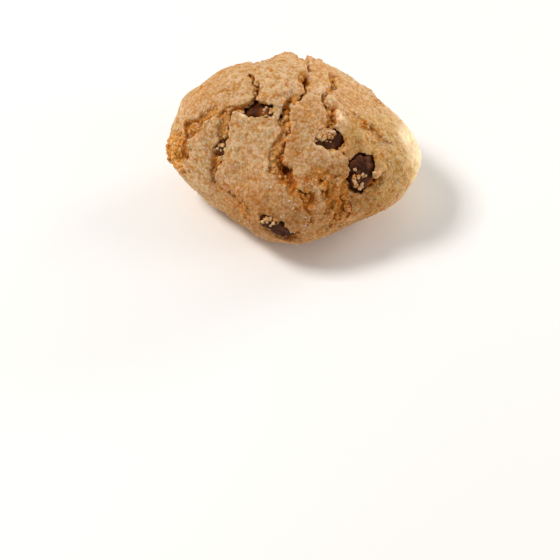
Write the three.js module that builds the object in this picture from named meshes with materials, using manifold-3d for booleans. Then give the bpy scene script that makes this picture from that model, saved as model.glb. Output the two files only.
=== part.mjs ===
// A domed amaretti cookie, 58 mm long, with a cracked, crusty top and raisins that show in the cracks.
//
// Frame: millimetres, +Z up, the origin under the middle of the flat underside. +X runs along the length, and
// the side with the two deep front cracks and most of the raisins faces -Y.
//
// The dough is one solid. Its skin is a rounded block swollen by a few broad lumps, and every place on it is
// named by a longitude (0 along +X, 90 along +Y) and a latitude, in degrees, seen from a middle point inside
// the dough. Cracks are grooves along short paths over that skin, between plates of crust whose edges stand
// a little proud. Hollows are round dips. Each raisin is its own solid in a pocket with a small gap round it.

import * as THREE from "three";
import { ImprovedNoise } from "three/addons/math/ImprovedNoise.js";
import { mergeVertices } from "three/addons/utils/BufferGeometryUtils.js";
import Module from "manifold-3d";

// ---------------------------------------------------------------- sizes, in millimetres and degrees

const MIDDLE = new THREE.Vector3(-1.8, 1.8, 12.5); // the point that longitudes and latitudes are seen from
const HALF_LENGTH = 27;
const HALF_DEPTH = 22.5;
const CROWN_HEIGHT = 21.5; // above the middle point
const UNDER_DEPTH = 17; // the rounded underside, before the tray flattens it
const ROUNDNESS = 1.85; // 2 is an ellipsoid, less is pointed
const UNDER_EDGE = 1.2; // how softly the side turns into the flat underside
const UNDER_SLACK = 0.6; // the soft edge aims this far below the tray, so that the middle is truly flat

// Swellings of the dough: [longitude, latitude, height, spread in degrees].
const LUMPS = [
  [180, 35, 3.0, 28], // left shoulder
  [60, 75, 1.0, 28], // crown
  [-90, 0, 4.0, 28], // front belly
  [-135, 0, -2.5, 28], // drawn-in front left side
  [-150, 15, -2.0, 28],
  [0, 0, 2.7, 28], // right end
  [-25, 10, 3.4, 28], // front right heel
  [0, 30, -3.0, 28], // long slope above the heel
  [-175, 17, -1.2, 8], // waist of the left rim
  [-174, 4, 0.9, 7], // lobe of the left rim
  [92, 55, 0.8, 6], // knob behind the crown
];

// Cracks: a path of [longitude, latitude, half the width of the gap], the depth, how far the crust stands
// proud on the left and on the right of the path, and whether its first and last ends run into another crack.
const CRACKS = [
  {
    // under the back plate, from the left rim over the top to the brown hole by the crown
    path: [
      [-177, 16, 0.5], [-171, 27, 0.7], [-160, 40, 0.7], [-151, 51, 0.8], [-141, 61, 1.1], [-127, 66, 1.2],
      [-110, 68, 1.0], [-94, 68, 0.7], [-70, 72, 0.8], [-38, 77, 0.8], [-8, 80, 0.9],
    ],
    depth: 2.8, left: 0.9, right: 0.5, joined: [false, true],
  },
  {
    // right edge of the back plate, from the brown hole over the crown
    path: [[-8, 80, 0.8], [20, 78, 0.4], [45, 74, 0.4], [67, 62, 0.6]],
    depth: 1.4, left: 0.9, right: -0.2, joined: [true, true],
  },
  {
    // and on down the back
    path: [[67, 62, 0.7], [74, 46, 0.9], [66, 30, 0.9], [78, 14, 0.8], [74, -3, 0.5]],
    depth: 2.4, left: 0.2, right: 1.0, joined: [true, false],
  },
  {
    // down the front
    path: [
      [-84, 70, 0.7], [-91, 60, 0.8], [-91, 51, 0.7], [-96, 41, 0.8], [-96, 35, 1.0], [-91, 29, 1.2],
      [-88, 25, 1.1], [-86, 20, 0.7], [-81, 19, 0.8], [-78, 11, 0.6],
    ],
    depth: 2.7, left: 0.8, right: 0.3, joined: [true, false],
  },
  {
    // left edge of the front plate
    path: [
      [-151, 51, 0.8], [-145, 44, 0.9], [-143, 35, 1.0], [-142, 27, 1.0], [-142, 18, 0.7], [-146, 5, 0.4],
    ],
    depth: 2.6, left: 1.3, right: 0.0, joined: [true, false],
  },
  {
    // lower left edge of the front plate
    path: [[-142, 18, 0.4], [-140, 7, 0.4], [-131, 6, 0.3], [-123, 8, 0.4], [-118, -2, 0.3]],
    depth: 1.1, left: 0.9, right: -0.3, joined: [true, false],
  },
  {
    // left edge of the small left plate, over the torn rim
    path: [[-160, 40, 0.5], [-163, 29, 0.7], [-165, 19, 0.8], [-164, 8, 0.7], [-162, -3, 0.4]],
    depth: 2.2, left: 1.1, right: -0.6, joined: [true, false],
  },
  {
    // thin split in the back plate
    path: [[150, 62, 0.4], [170, 69, 0.4], [-160, 69, 0.35], [-141, 62, 0.35]],
    depth: 1.8, left: 0.1, right: 0.1, joined: [false, true],
  },
  {
    // upper right, down to the raisin there
    path: [
      [32, 50, 0.3], [22, 57, 0.4], [5, 60, 0.4], [-12, 65, 0.4], [-28, 63, 0.4], [-33, 56, 0.6],
      [-44, 50, 0.6],
    ],
    depth: 1.7, left: 0.5, right: 0.3, joined: [false, true],
  },
  {
    // fold between the browned right shoulder and the pale side
    path: [[-21, 51, 0.3], [-17, 42, 0.45], [-19, 34, 0.3], [-21, 26, 0.3], [-18, 18, 0.2]],
    depth: 1.0, left: 0.6, right: -0.1, joined: [false, false],
  },
  {
    // thin link between the two right-hand raisins
    path: [[-51, 38, 0.5], [-49, 31, 0.35], [-47, 25, 0.5]],
    depth: 1.4, left: 0.1, right: 0.3, joined: [true, true],
  },
  {
    // right edge of the torn strip below them
    path: [[-53, 17, 0.5], [-57, 8, 0.5], [-57, -4, 0.3]],
    depth: 1.3, left: -0.3, right: 0.8, joined: [true, false],
  },
  {
    // left edge of the torn strip
    path: [[-72, 24, 0.4], [-69, 13, 0.4], [-67, 2, 0.3]],
    depth: 1.2, left: 0.5, right: -0.2, joined: [false, false],
  },
  {
    // edge of the low front flap, ending at the bottom raisins
    path: [[-74, 9, 0.25], [-79, 4, 0.35], [-86, -1, 0.35]],
    depth: 1.3, left: 0.0, right: 0.5, joined: [false, true],
  },
  {
    // second crack round the back
    path: [[128, 56, 0.4], [122, 40, 0.7], [134, 26, 0.8], [128, 11, 0.7], [136, -4, 0.4]],
    depth: 2.4, left: 0.8, right: 0.2, joined: [false, false],
  },
  {
    // a cross crack that joins the two low on the back
    path: [[66, 30, 0.6], [84, 35, 0.7], [104, 28, 0.7], [124, 37, 0.5]],
    depth: 1.8, left: 0.1, right: 0.7, joined: [true, true],
  },
  {
    // and one over the right end
    path: [[6, 20, 0.3], [24, 24, 0.6], [40, 15, 0.6], [55, 21, 0.5], [66, 30, 0.5]],
    depth: 1.7, left: 0.7, right: 0.1, joined: [false, true],
  },
];
const CRACK_REACH = 16; // beyond this distance a crack changes nothing
const PLATE_REACH = 3.5; // how far a proud edge runs back into its plate
const VALLEY_REACH = 4.0; // the wide, shallow dip on both sides of a crack
const VALLEY_SHARE = 0.2; // of the crack's depth
const CRACK_TAPER = 4; // length over which a crack's free end closes

// The faces are drawn to the cracks, where they have to be fine: by this share of their distance right at a
// crack, falling off over this reach.
const GATHER_SHARE = 0.8;
const GATHER_REACH = 2.6;

// Hollows torn in the crust: [longitude, latitude, radius, depth].
const HOLLOWS = [
  [-8, 80, 1.7, 1.4], // brown hole by the crown
  [-79, 74, 1.7, 1.2], // smooth dip where the long crack turns
  [-168, 6, 2.4, 1.6], // left rim
  [-79, 16, 1.8, 1.5], // hole under the torn crumb
  [-71, 26, 2.0, 0.9], // torn crumb
  [-66, 18, 2.0, 0.8],
  [-62, 8, 2.2, 0.7],
];

// Raisins: where they lie, half of each size, the turn of the long side from east towards north and how far
// the middle lies under the skin. Then the torn opening over each: its two halves and how far its middle lies
// off the raisin's, all as shares of the raisin's half sizes, and its depth.
const RAISINS = [
  {
    at: [-131, 63], half: [4.6, 3.0, 2.2], turn: 25, sunk: 2.8,
    opening: [0.5, 0.5], shift: [-0.35, -0.25], dip: 1.1,
  },
  { at: [-144, 30], half: [3.0, 2.1, 1.8], turn: 80, sunk: 2.3, opening: [0.6, 0.7], dip: 1.0 },
  {
    at: [-52, 43], half: [4.4, 2.7, 2.1], turn: -20, sunk: 2.2,
    opening: [0.85, 0.95], shift: [-0.05, 0.1], dip: 1.5,
  },
  { at: [-42, 18], half: [4.4, 4.3, 2.4], turn: 60, sunk: 2.3, opening: [0.9, 0.9], dip: 1.6 },
  {
    at: [-94, 0], half: [4.7, 2.3, 1.9], turn: -27, sunk: 1.9,
    opening: [1.1, 1.15], shift: [-0.1, -0.2], dip: 1.6,
  },
  // one at the back and one beyond the right end
  { at: [104, 29], half: [4.1, 2.7, 2.1], turn: -10, sunk: 2.3, opening: [0.7, 0.8], dip: 1.4 },
  { at: [44, 16], half: [3.4, 2.4, 1.9], turn: -35, sunk: 2.3, opening: [0.75, 0.75], dip: 1.3 },
];
const POCKET_GAP = 0.5; // between a raisin and the dough
const WRINKLES = 5; // folds round a raisin
const WRINKLE_DEPTH = 0.09; // of its half width
const WRINKLE_SWAY = 1.3; // how far a fold wanders round the raisin, in radians
const WRINKLE_WAVES = 2.5; // radians of that wandering from the middle to each end

const DOUGH_DETAIL = 19; // subdivisions of the icosahedron that becomes the dough
const RAISIN_DETAIL = 3;
const FACES_UP = new THREE.Vector3(0, -0.1, 0.22); // puts more of the faces on the top and the front
const SAME_CORNER = 1e-5; // corners of the ball nearer than this are one
const GRAIN_SIZE = 3.2; // of the crust's bumps
const GRAIN_HEIGHT = 0.3;

// Slow swellings between the cracks: their height, how fast they turn along each axis in radians for each
// millimetre, and the angle each starts at.
const SWELL_HEIGHT = 0.22;
const SWELL_TURN = { x: 0.55, y: 0.5, z: 0.6, slant: 0.35 };
const SWELL_START = { x: 0.9, y: -0.4, z: 2.0 };

// ---------------------------------------------------------------- places on the skin

const noise = new ImprovedNoise();

function direction(longitude, latitude) {
  const lon = THREE.MathUtils.degToRad(longitude);
  const lat = THREE.MathUtils.degToRad(latitude);
  const out = Math.cos(lat);
  return new THREE.Vector3(out * Math.cos(lon), out * Math.sin(lon), Math.sin(lat));
}

const lumps = LUMPS.map(([longitude, latitude, height, spread]) => ({
  towards: direction(longitude, latitude),
  height,
  spread,
}));

// How far the plain dough reaches from the middle point in one direction.
function doughRadius(towards) {
  const height = towards.z > 0 ? CROWN_HEIGHT : UNDER_DEPTH;
  let radius =
    (Math.abs(towards.x / HALF_LENGTH) ** ROUNDNESS +
      Math.abs(towards.y / HALF_DEPTH) ** ROUNDNESS +
      Math.abs(towards.z / height) ** ROUNDNESS) **
    (-1 / ROUNDNESS);
  for (const lump of lumps) {
    const angle = THREE.MathUtils.radToDeg(towards.angleTo(lump.towards));
    radius += lump.height * Math.exp(-((angle / lump.spread) ** 2));
  }
  return radius;
}

// The flat underside cuts the form off, with a soft edge.
function trayCut(towards, radius) {
  if (towards.z >= 0) return radius;
  const toTray = MIDDLE.z / -towards.z;
  const limit = toTray + UNDER_SLACK;
  const nearer = Math.min(radius, limit);
  const soft = Math.exp((nearer - radius) / UNDER_EDGE) + Math.exp((nearer - limit) / UNDER_EDGE);
  return Math.min(nearer - UNDER_EDGE * Math.log(soft), toTray);
}

function skinPoint(towards) {
  return towards.clone().multiplyScalar(trayCut(towards, doughRadius(towards))).add(MIDDLE);
}

const onSkin = (longitude, latitude) => skinPoint(direction(longitude, latitude));

// Lies a raisin under the skin: its thickness points outwards, and its long side is turned from east towards
// north.
function raisinPlace(raisin) {
  const out = direction(...raisin.at);
  const east = new THREE.Vector3(-out.y, out.x, 0).normalize();
  const north = new THREE.Vector3().crossVectors(out, east);
  const turn = THREE.MathUtils.degToRad(raisin.turn);
  const long = east.multiplyScalar(Math.cos(turn)).addScaledVector(north, Math.sin(turn));
  const wide = new THREE.Vector3().crossVectors(out, long);
  const middle = onSkin(...raisin.at).addScaledVector(out, -raisin.sunk);
  return new THREE.Matrix4().makeBasis(long, wide, out).setPosition(middle);
}

// ---------------------------------------------------------------- the relief of plates and hollows

const cracks = CRACKS.map((crack) => {
  const points = crack.path.map(([longitude, latitude]) => onSkin(longitude, latitude));
  const starts = [0];
  for (let i = 1; i < points.length; i++) {
    starts.push(starts[i - 1] + points[i].distanceTo(points[i - 1]));
  }
  return { ...crack, points, starts, length: starts.at(-1) };
});
const hollows = HOLLOWS.map(([longitude, latitude, radius, depth]) => ({
  middle: onSkin(longitude, latitude),
  radius,
  depth,
}));

const raisins = RAISINS.map((raisin) => ({
  ...raisin,
  place: raisinPlace(raisin),
  back: raisinPlace(raisin).invert(),
}));

// The nearest place on a crack's path: its distance, how far along it lies, the half width there, and +1 on
// the path's left.
function nearestOn(crack, point) {
  let best = { distance: Infinity };
  const segment = new THREE.Line3();
  for (let i = 0; i + 1 < crack.points.length; i++) {
    segment.set(crack.points[i], crack.points[i + 1]);
    const share = segment.closestPointToPointParameter(point, true);
    const place = segment.at(share, new THREE.Vector3());
    const distance = place.distanceTo(point);
    if (distance >= best.distance) continue;
    const across = segment.delta(new THREE.Vector3()).cross(point.clone().sub(place));
    const left = across.dot(place.clone().sub(MIDDLE)) > 0 ? 1 : -1;
    const half = THREE.MathUtils.lerp(crack.path[i][2], crack.path[i + 1][2], share);
    best = { distance, place, left, half, along: crack.starts[i] + share * segment.distance() };
  }
  return best;
}

// 1 along a crack, falling towards 0 at an end that runs into nothing.
function openness(crack, along) {
  const first = crack.joined[0] ? 1 : THREE.MathUtils.smoothstep(along, 0, CRACK_TAPER);
  const last = crack.joined[1] ? 1 : THREE.MathUtils.smoothstep(crack.length - along, 0, CRACK_TAPER);
  return first * last;
}

function plateRelief(point) {
  let gap = 0;
  let valley = 0;
  let plates = 0;
  for (const crack of cracks) {
    const { distance, left, half, along } = nearestOn(crack, point);
    if (distance > CRACK_REACH) continue;
    const open = openness(crack, along);
    const inside = Math.exp(-((distance / half) ** 2));
    const wide = Math.exp(-((distance / VALLEY_REACH) ** 2));
    const proud = left > 0 ? crack.left : crack.right;
    gap = Math.max(gap, open * crack.depth * inside);
    valley = Math.max(valley, open * crack.depth * VALLEY_SHARE * wide);
    plates += open * proud * (1 - inside) * Math.exp(-distance / PLATE_REACH);
  }
  return plates - gap - valley;
}

function hollowRelief(point) {
  let dip = 0;
  for (const hollow of hollows) {
    const share = point.distanceTo(hollow.middle) / hollow.radius;
    dip = Math.max(dip, hollow.depth * Math.exp(-(share ** 4)));
  }
  for (const raisin of raisins) {
    const { half, opening, shift = [0, 0] } = raisin;
    const local = point.clone().applyMatrix4(raisin.back);
    const long = (local.x / half[0] - shift[0]) / opening[0];
    const wide = (local.y / half[1] - shift[1]) / opening[1];
    dip = Math.max(dip, raisin.dip * Math.exp(-(Math.hypot(long, wide) ** 4)));
  }
  return -dip;
}

// Slow swellings between the cracks, and the bumps of the crust.
function crustRelief({ x, y, z }) {
  const across = Math.sin(SWELL_TURN.x * x + SWELL_START.x) * Math.sin(SWELL_TURN.y * y + SWELL_START.y);
  const upwards = Math.sin(SWELL_TURN.z * z + SWELL_TURN.slant * x + SWELL_START.z);
  const bumps = noise.noise(x / GRAIN_SIZE, y / GRAIN_SIZE, z / GRAIN_SIZE);
  return SWELL_HEIGHT * (across + upwards) + GRAIN_HEIGHT * bumps;
}

// Moves a place on the skin towards each crack near it, and gives its direction.
function drawnToCracks(towards) {
  const point = skinPoint(towards);
  for (const crack of cracks) {
    const { distance, place } = nearestOn(crack, point);
    point.lerp(place, GATHER_SHARE * Math.exp(-((distance / GATHER_REACH) ** 2)));
  }
  return point.sub(MIDDLE).normalize();
}

function doughPoint(towards) {
  const point = skinPoint(towards);
  const relief = plateRelief(point) + hollowRelief(point) + crustRelief(point);
  return towards.clone().multiplyScalar(trayCut(towards, doughRadius(towards) + relief)).add(MIDDLE);
}

// ---------------------------------------------------------------- shapes

// A ball of faces whose corners are moved by a rule, with its shared corners merged.
function shapedBall(detail, moved) {
  const ball = new THREE.IcosahedronGeometry(1, detail);
  ball.deleteAttribute("normal");
  ball.deleteAttribute("uv");
  const geometry = mergeVertices(ball, SAME_CORNER);
  const corners = geometry.getAttribute("position");
  const corner = new THREE.Vector3();
  for (let i = 0; i < corners.count; i++) {
    const placed = moved(corner.fromBufferAttribute(corners, i).normalize());
    corners.setXYZ(i, placed.x, placed.y, placed.z);
  }
  return geometry;
}

function doughGeometry() {
  return shapedBall(DOUGH_DETAIL, (corner) => doughPoint(drawnToCracks(corner.add(FACES_UP).normalize())));
}

// A raisin round the origin, long side along X, wrinkled lengthwise. Extra makes it fatter all round.
function raisinGeometry(raisin, index, extra) {
  const [long, wide, high] = raisin.half.map((size) => size + extra);
  return shapedBall(RAISIN_DETAIL, (corner) => {
    const round = Math.atan2(corner.z, corner.y);
    const sway = WRINKLE_SWAY * Math.sin(WRINKLE_WAVES * corner.x + index);
    const fold = Math.sin(WRINKLES * round + sway + index);
    const plump = 1 + WRINKLE_DEPTH * fold * (1 - corner.x ** 2);
    return new THREE.Vector3(long * corner.x, wide * corner.y * plump, high * corner.z * plump);
  });
}

// ---------------------------------------------------------------- cutting and joining

const wasm = await Module();
wasm.setup();

function solidOf(geometry) {
  return new wasm.Manifold(
    new wasm.Mesh({
      numProp: 3,
      vertProperties: geometry.getAttribute("position").array,
      triVerts: new Uint32Array(geometry.index.array),
    }),
  );
}

function geometryOf(solid) {
  const mesh = solid.getMesh();
  const geometry = new THREE.BufferGeometry();
  geometry.setAttribute("position", new THREE.BufferAttribute(mesh.vertProperties, 3));
  geometry.setIndex(new THREE.BufferAttribute(mesh.triVerts, 1));
  geometry.computeVertexNormals();
  return geometry;
}

function material(color, roughness) {
  return new THREE.MeshStandardMaterial({ color, roughness, metalness: 0 });
}

const crustMaterial = material(0xc99a66, 0.9);
const raisinMaterial = material(0x3a1d14, 0.45);

const cookie = new THREE.Group();
let dough = solidOf(doughGeometry());
raisins.forEach((raisin, index) => {
  dough = dough.subtract(solidOf(raisinGeometry(raisin, index, POCKET_GAP).applyMatrix4(raisin.place)));
  const mesh = new THREE.Mesh(raisinGeometry(raisin, index, 0).applyMatrix4(raisin.place), raisinMaterial);
  mesh.name = `raisin_${index + 1}`;
  cookie.add(mesh);
});

const [largest] = dough.decompose().sort((a, b) => b.volume() - a.volume());
const doughMesh = new THREE.Mesh(geometryOf(largest), crustMaterial);
doughMesh.name = "dough";
cookie.add(doughMesh);

export default cookie;
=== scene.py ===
"""The looks of a domed amaretti cookie with a cracked, sugared crust and raisins in its cracks.

Shapes are worked out in millimetres, in the frame's axes, and turned into metres when a mesh is made.
Places on the dough's skin are given by longitude and latitude, in degrees, seen from a middle point in the
dough: longitude 0 is +X, the right end, and -90 is the front. The dough is a field on a fine grid, below
zero inside, and its surface is read off that grid as one mesh. Grains, crumbs and sugar lie on it.
"""

import math
from itertools import product

import bmesh
import bpy
import numpy as np
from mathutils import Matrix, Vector


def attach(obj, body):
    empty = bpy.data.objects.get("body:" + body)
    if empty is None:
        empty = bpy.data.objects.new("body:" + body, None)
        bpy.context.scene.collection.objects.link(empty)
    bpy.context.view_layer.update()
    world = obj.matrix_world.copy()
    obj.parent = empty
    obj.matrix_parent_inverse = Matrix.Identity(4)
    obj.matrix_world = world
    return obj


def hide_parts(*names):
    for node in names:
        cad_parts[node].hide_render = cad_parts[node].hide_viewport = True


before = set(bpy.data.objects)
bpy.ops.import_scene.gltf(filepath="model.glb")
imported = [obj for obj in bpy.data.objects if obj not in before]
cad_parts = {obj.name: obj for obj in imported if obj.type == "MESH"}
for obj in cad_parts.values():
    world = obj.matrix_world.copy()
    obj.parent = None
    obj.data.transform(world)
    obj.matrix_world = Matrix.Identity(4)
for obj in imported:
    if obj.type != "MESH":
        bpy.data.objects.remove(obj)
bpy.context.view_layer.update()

MM = 0.001
SEED = 7

# -------- sizes, in millimetres and degrees

MIDDLE = np.array((-1.8, 1.8, 12.5))
HALF_LENGTH = 27.0
HALF_DEPTH = 22.5
CROWN_HEIGHT = 21.5
UNDER_DEPTH = 17.0
ROUNDNESS = 1.85
UNDER_EDGE = 1.2
UNDER_SLACK = 0.6

# Swellings of the dough: longitude, latitude, height, spread in degrees.
LUMPS = [
    (180, 35, 3.0, 28), (60, 75, 1.0, 28), (-90, 0, 4.0, 28), (-135, 0, -2.5, 28), (-150, 15, -2.0, 28),
    (0, 0, 2.7, 28), (-25, 10, 3.4, 28), (0, 30, -3.0, 28), (-175, 17, -1.2, 8), (-174, 4, 0.9, 7),
    (92, 55, 0.8, 6),
]


class Crack:
    """A gap in the crust along a path of (longitude, latitude, half width).

    depth is how deep it goes. left and right are how far the crust stands proud on the path's two sides.
    joined says which ends run into another crack. lean is how far the gap moves to the left for each
    millimetre down. shelf is the width of a torn shelf on its left, or on its right if below zero.
    """

    def __init__(self, path, depth, left, right, joined=(False, False), lean=0.0, shelf=0.0):
        self.path = np.array(path, float)
        self.depth = depth
        self.left = left
        self.right = right
        self.joined = joined
        self.lean = lean
        self.shelf = shelf


CRACKS = [
    # under the back plate, from the left rim over the top to the brown hole by the crown
    Crack(
        [(-177, 16, 0.4), (-171, 27, 0.5), (-160, 40, 0.5), (-151, 51, 0.6), (-141, 61, 1.2),
         (-127, 66, 1.0), (-110, 68, 0.4), (-94, 68, 0.35), (-70, 72, 0.5), (-38, 77, 0.7),
         (-8, 80, 0.9)],
        2.2, 0.9, 0.5, (False, True), 0.3,
    ),
    # right edge of the back plate, over the crown
    Crack(
        [(-8, 80, 0.8), (20, 78, 0.4), (45, 74, 0.4), (67, 62, 0.6)],
        1.4, 0.9, -0.2, (True, True), -0.3,
    ),
    # and on down the back
    Crack(
        [(67, 62, 0.7), (74, 46, 0.9), (66, 30, 0.9), (78, 14, 0.8), (74, -3, 0.5)],
        2.4, 0.2, 1.0, (True, False), -0.3, 0.8,
    ),
    # down the front
    Crack(
        [(-84, 70, 0.5), (-89, 60, 0.6), (-91, 51, 0.6), (-96, 41, 0.8), (-96, 35, 1.0), (-91, 29, 1.2),
         (-88, 25, 1.1), (-86, 20, 0.7), (-81, 19, 0.8), (-78, 11, 0.6)],
        2.7, 0.8, 0.3, (True, False), 0.2, -0.8,
    ),
    # left edge of the front plate
    Crack(
        [(-151, 51, 0.8), (-145, 44, 0.9), (-143, 35, 1.0), (-142, 27, 1.0), (-142, 18, 0.7),
         (-146, 5, 0.4)],
        2.6, 1.3, 0.0, (True, False), 0.5, -0.5,
    ),
    # lower left edge of the front plate
    Crack(
        [(-142, 18, 0.4), (-140, 7, 0.4), (-131, 6, 0.3), (-123, 8, 0.4), (-118, -2, 0.3)],
        1.1, 0.9, -0.3, (True, False), 0.3, -1.5,
    ),
    # left edge of the small left plate, over the torn rim
    Crack(
        [(-160, 40, 0.5), (-163, 29, 0.7), (-165, 19, 0.8), (-164, 8, 0.7), (-162, -3, 0.4)],
        2.2, 1.1, -0.6, (True, False), 0.4, -1.6,
    ),
    # thin split in the back plate
    Crack(
        [(152, 60, 0.6), (168, 69, 0.75), (-160, 70, 0.75), (-143, 64, 0.7)],
        2.0, 0.1, 0.1, (False, True),
    ),
    # upper right, down to the raisin there
    Crack(
        [(32, 50, 0.3), (22, 57, 0.4), (5, 60, 0.4), (-12, 65, 0.4), (-28, 63, 0.4), (-33, 56, 0.6),
         (-44, 50, 0.6)],
        1.7, 0.5, 0.3, (False, True), 0.2, -0.7,
    ),
    # fold between the browned right shoulder and the pale side
    Crack(
        [(-21, 51, 0.3), (-17, 42, 0.45), (-19, 34, 0.3), (-21, 26, 0.3), (-18, 18, 0.2)],
        1.0, 0.6, -0.1, lean=0.5,
    ),
    # thin link between the two right-hand raisins
    Crack([(-51, 38, 0.5), (-49, 31, 0.35), (-47, 25, 0.5)], 1.4, 0.1, 0.3, (True, True)),
    # right edge of the torn strip below them
    Crack([(-53, 17, 0.5), (-57, 8, 0.5), (-57, -4, 0.3)], 1.3, -0.3, 0.8, (True, False), -0.3, -1.2),
    # left edge of the torn strip
    Crack([(-72, 24, 0.4), (-69, 13, 0.4), (-67, 2, 0.3)], 1.2, 0.5, -0.2, shelf=1.0),
    # edge of the low front flap, ending at the bottom raisin
    Crack([(-74, 9, 0.25), (-79, 4, 0.35), (-86, -1, 0.35)], 1.3, 0.0, 0.5, (False, True), -0.4),
    # second crack round the back
    Crack(
        [(128, 56, 0.4), (122, 40, 0.7), (134, 26, 0.8), (128, 11, 0.7), (136, -4, 0.4)],
        2.4, 0.8, 0.2, lean=0.4, shelf=-1.4,
    ),
    # a cross crack that joins the two low on the back
    Crack(
        [(66, 30, 0.6), (84, 35, 0.7), (104, 28, 0.7), (124, 37, 0.5)],
        1.8, 0.1, 0.7, (True, True), -0.4, 0.9,
    ),
    # and one over the right end
    Crack(
        [(6, 20, 0.3), (24, 24, 0.6), (40, 15, 0.6), (55, 21, 0.5), (66, 30, 0.5)],
        1.7, 0.7, 0.1, (False, True), 0.4, -1.0,
    ),
]

# The plates' rims and the valleys along the cracks fade out over these lengths. A valley is this share as
# deep as its crack. All relief fades out downwards between the two heights of the foot.
PLATE_REACH = 3.5
VALLEY_REACH = 4.0
VALLEY_SHARE = 0.2
FOOT = (0.5, 3.0)

# A crack's end that runs into nothing tapers over this length, and below its floor the crack closes. Edges
# say how softly a gap meets the surface, and rooms how far round it the field is worked out again.
CRACK_TAPER = 4.0
CRACK_CLOSING = 0.3
CRACK_EDGE = 0.15
CRACK_ROOM = 2.0
POCKET_EDGE = 0.2
POCKET_ROOM = 1.5

# A shelf's floor and how steeply it ends. Its width is the first share of the plain one, and noise of
# this size adds the second.
SHELF_DEPTH = 0.8
SHELF_STEEPNESS = 2.0
SHELF_WIDTH = (0.8, 0.7)
SHELF_BUMPS = 3.0

# Hollows torn in the crust: longitude, latitude, radius, depth.
HOLLOWS = [
    (-8, 80, 1.7, 1.4), (-79, 74, 1.7, 1.2), (-168, 6, 2.4, 1.6), (-79, 16, 1.8, 1.5),
    (-71, 26, 2.0, 0.9), (-66, 18, 2.0, 0.8), (-62, 8, 2.2, 0.7), (-125, 66, 1.2, 1.3),
    (-91, 29, 1.4, 1.5), (-78, 17, 1.6, 1.7), (-66, 28, 1.0, 1.0), (-61, 24, 0.9, 0.8),
]

# Scraps of crust that reach over a raisin: longitude, latitude, radius, height.
FLAPS = [(-35, 18, 1.2, 0.5), (-39, 17, 1.2, 0.7), (-50, 11, 0.8, 0.5), (-104, 3, 1.0, 0.5)]


class Raisin:
    """A raisin at (longitude, latitude), with its half sizes and the turn of its long side.

    sunk is how deep its middle lies. opening is the torn opening in the crust over it and shift is how far
    off the middle that lies, both as shares of its half sizes. dip is how deep the opening goes.
    """

    def __init__(self, at, half, turn, sunk, opening, dip, shift=(0, 0)):
        self.at = at
        self.half = np.array(half)
        self.turn = turn
        self.sunk = sunk
        self.opening = np.array(opening)
        self.dip = dip
        self.shift = np.array(shift)


RAISINS = [
    Raisin((-131, 63), (4.6, 3.0, 2.2), 25, 2.8, (0.75, 0.5), 1.1, (-0.1, -0.2)),
    Raisin((-144, 30), (3.0, 2.1, 1.8), 80, 2.3, (0.6, 0.7), 1.0),
    Raisin((-52, 43), (4.4, 2.7, 2.1), -20, 2.2, (0.85, 0.95), 1.5, (-0.05, 0.1)),
    Raisin((-42, 18), (4.4, 4.3, 2.4), 60, 2.3, (0.8, 0.95), 1.6, (-0.14, 0.05)),
    Raisin((-94, 0), (4.7, 2.3, 1.9), -27, 1.9, (1.15, 0.95), 1.6, (0.08, -0.4)),
    Raisin((104, 29), (4.1, 2.7, 2.1), -10, 2.3, (0.7, 0.8), 1.4),
    Raisin((44, 16), (3.4, 2.4, 1.9), -35, 2.3, (0.75, 0.75), 1.3),
]
POCKET_GAP = 0.25

# The rim of a raisin's opening lies between these two shares of its size.
OPENING_RIM = (0.75, 1.1)

# Folds along a raisin, and creases of two sizes in its skin. Depths are shares of the raisin's own size.
# Each raisin takes its creases from other places in the noise.
WRINKLES = 5
WRINKLE_DEPTH = 0.09
WRINKLE_SWAY = 1.3
WRINKLE_WAVES = 2.5
PLUMPNESS = 1.04
CREASE_SIZES = (1.5, 0.7)
CREASE_DEPTHS = (0.20, 0.07)
CREASE_PLACES = (40, 60)
RAISINS_APART = 20

# Slow swellings between the cracks: height, radians for each millimetre along x, y and z, and the angles
# they start at.
SWELL_HEIGHT = 0.22
SWELL_TURN = (0.55, 0.5, 0.6)
SWELL_SLANT = 0.35
SWELL_START = (0.9, -0.4, 2.0)

# Where a raisin's skin lets light through: longitude, latitude, radius in millimetres.
AMBER = [(-41, 10, 2.6), (-125, 62, 1.2)]

# Where the crust has another colour: each zone is a list of (longitude, latitude, radius in millimetres).
# Pale is the right side, unbrowned dough whose tones are darkened by painted shade, cream the right end
# and a few light flakes, torn the golden dough laid bare, brown what baked longest, low painted shade on
# the front's foot.
ZONES = {
    "pale_shaded": [
        (-34, 24, 5.5), (-26, 12, 7.0), (-12, 8, 8.0), (-8, 22, 6.5), (-38, 4, 6.0), (-35, 38, 4.0),
        (-18, 36, 4.0),
    ],
    "cream": [
        (-2, 4, 7.5), (-6, 14, 3.5), (-8, -4, 6.0), (8, -4, 6.0), (-142, 56, 1.3), (-33, 52, 1.2),
        (-72, 20, 1.4), (-70, 14, 1.3),
    ],
    "torn": [
        (-71, 27, 2.2), (-35, 55, 1.3), (-66, 18, 3.0), (-62, 9, 3.0), (-63, 1, 2.6), (-79, 16, 2.0),
        (-172, 12, 3.2), (-169, 3, 3.5), (-172, 22, 2.4), (-176, 8, 3.5), (-144, 20, 1.6), (-116, 3, 2.0),
        # The next three places paint orange shade along the fold on the right, under its cliff.
        (-20, 38, 1.0), (-22, 33, 1.0), (-24, 28, 0.9),
    ],
    "brown": [
        (-12, 47, 5.0), (5, 48, 6.0), (15, 38, 6.0), (30, 60, 6.0), (175, 42, 7.0), (150, 45, 9.0),
        (90, 50, 7.0), (100, 15, 10.0), (40, 10, 8.0), (-105, 15, 7.0), (-88, 40, 3.5), (-60, 62, 4.5),
    ],
    # low: painted shade on the front's foot, below its widest.
    "low": [(-115, -6, 11.0), (-92, -6, 13.0), (-66, -2, 13.0), (-40, -10, 7.0)],
}

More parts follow.
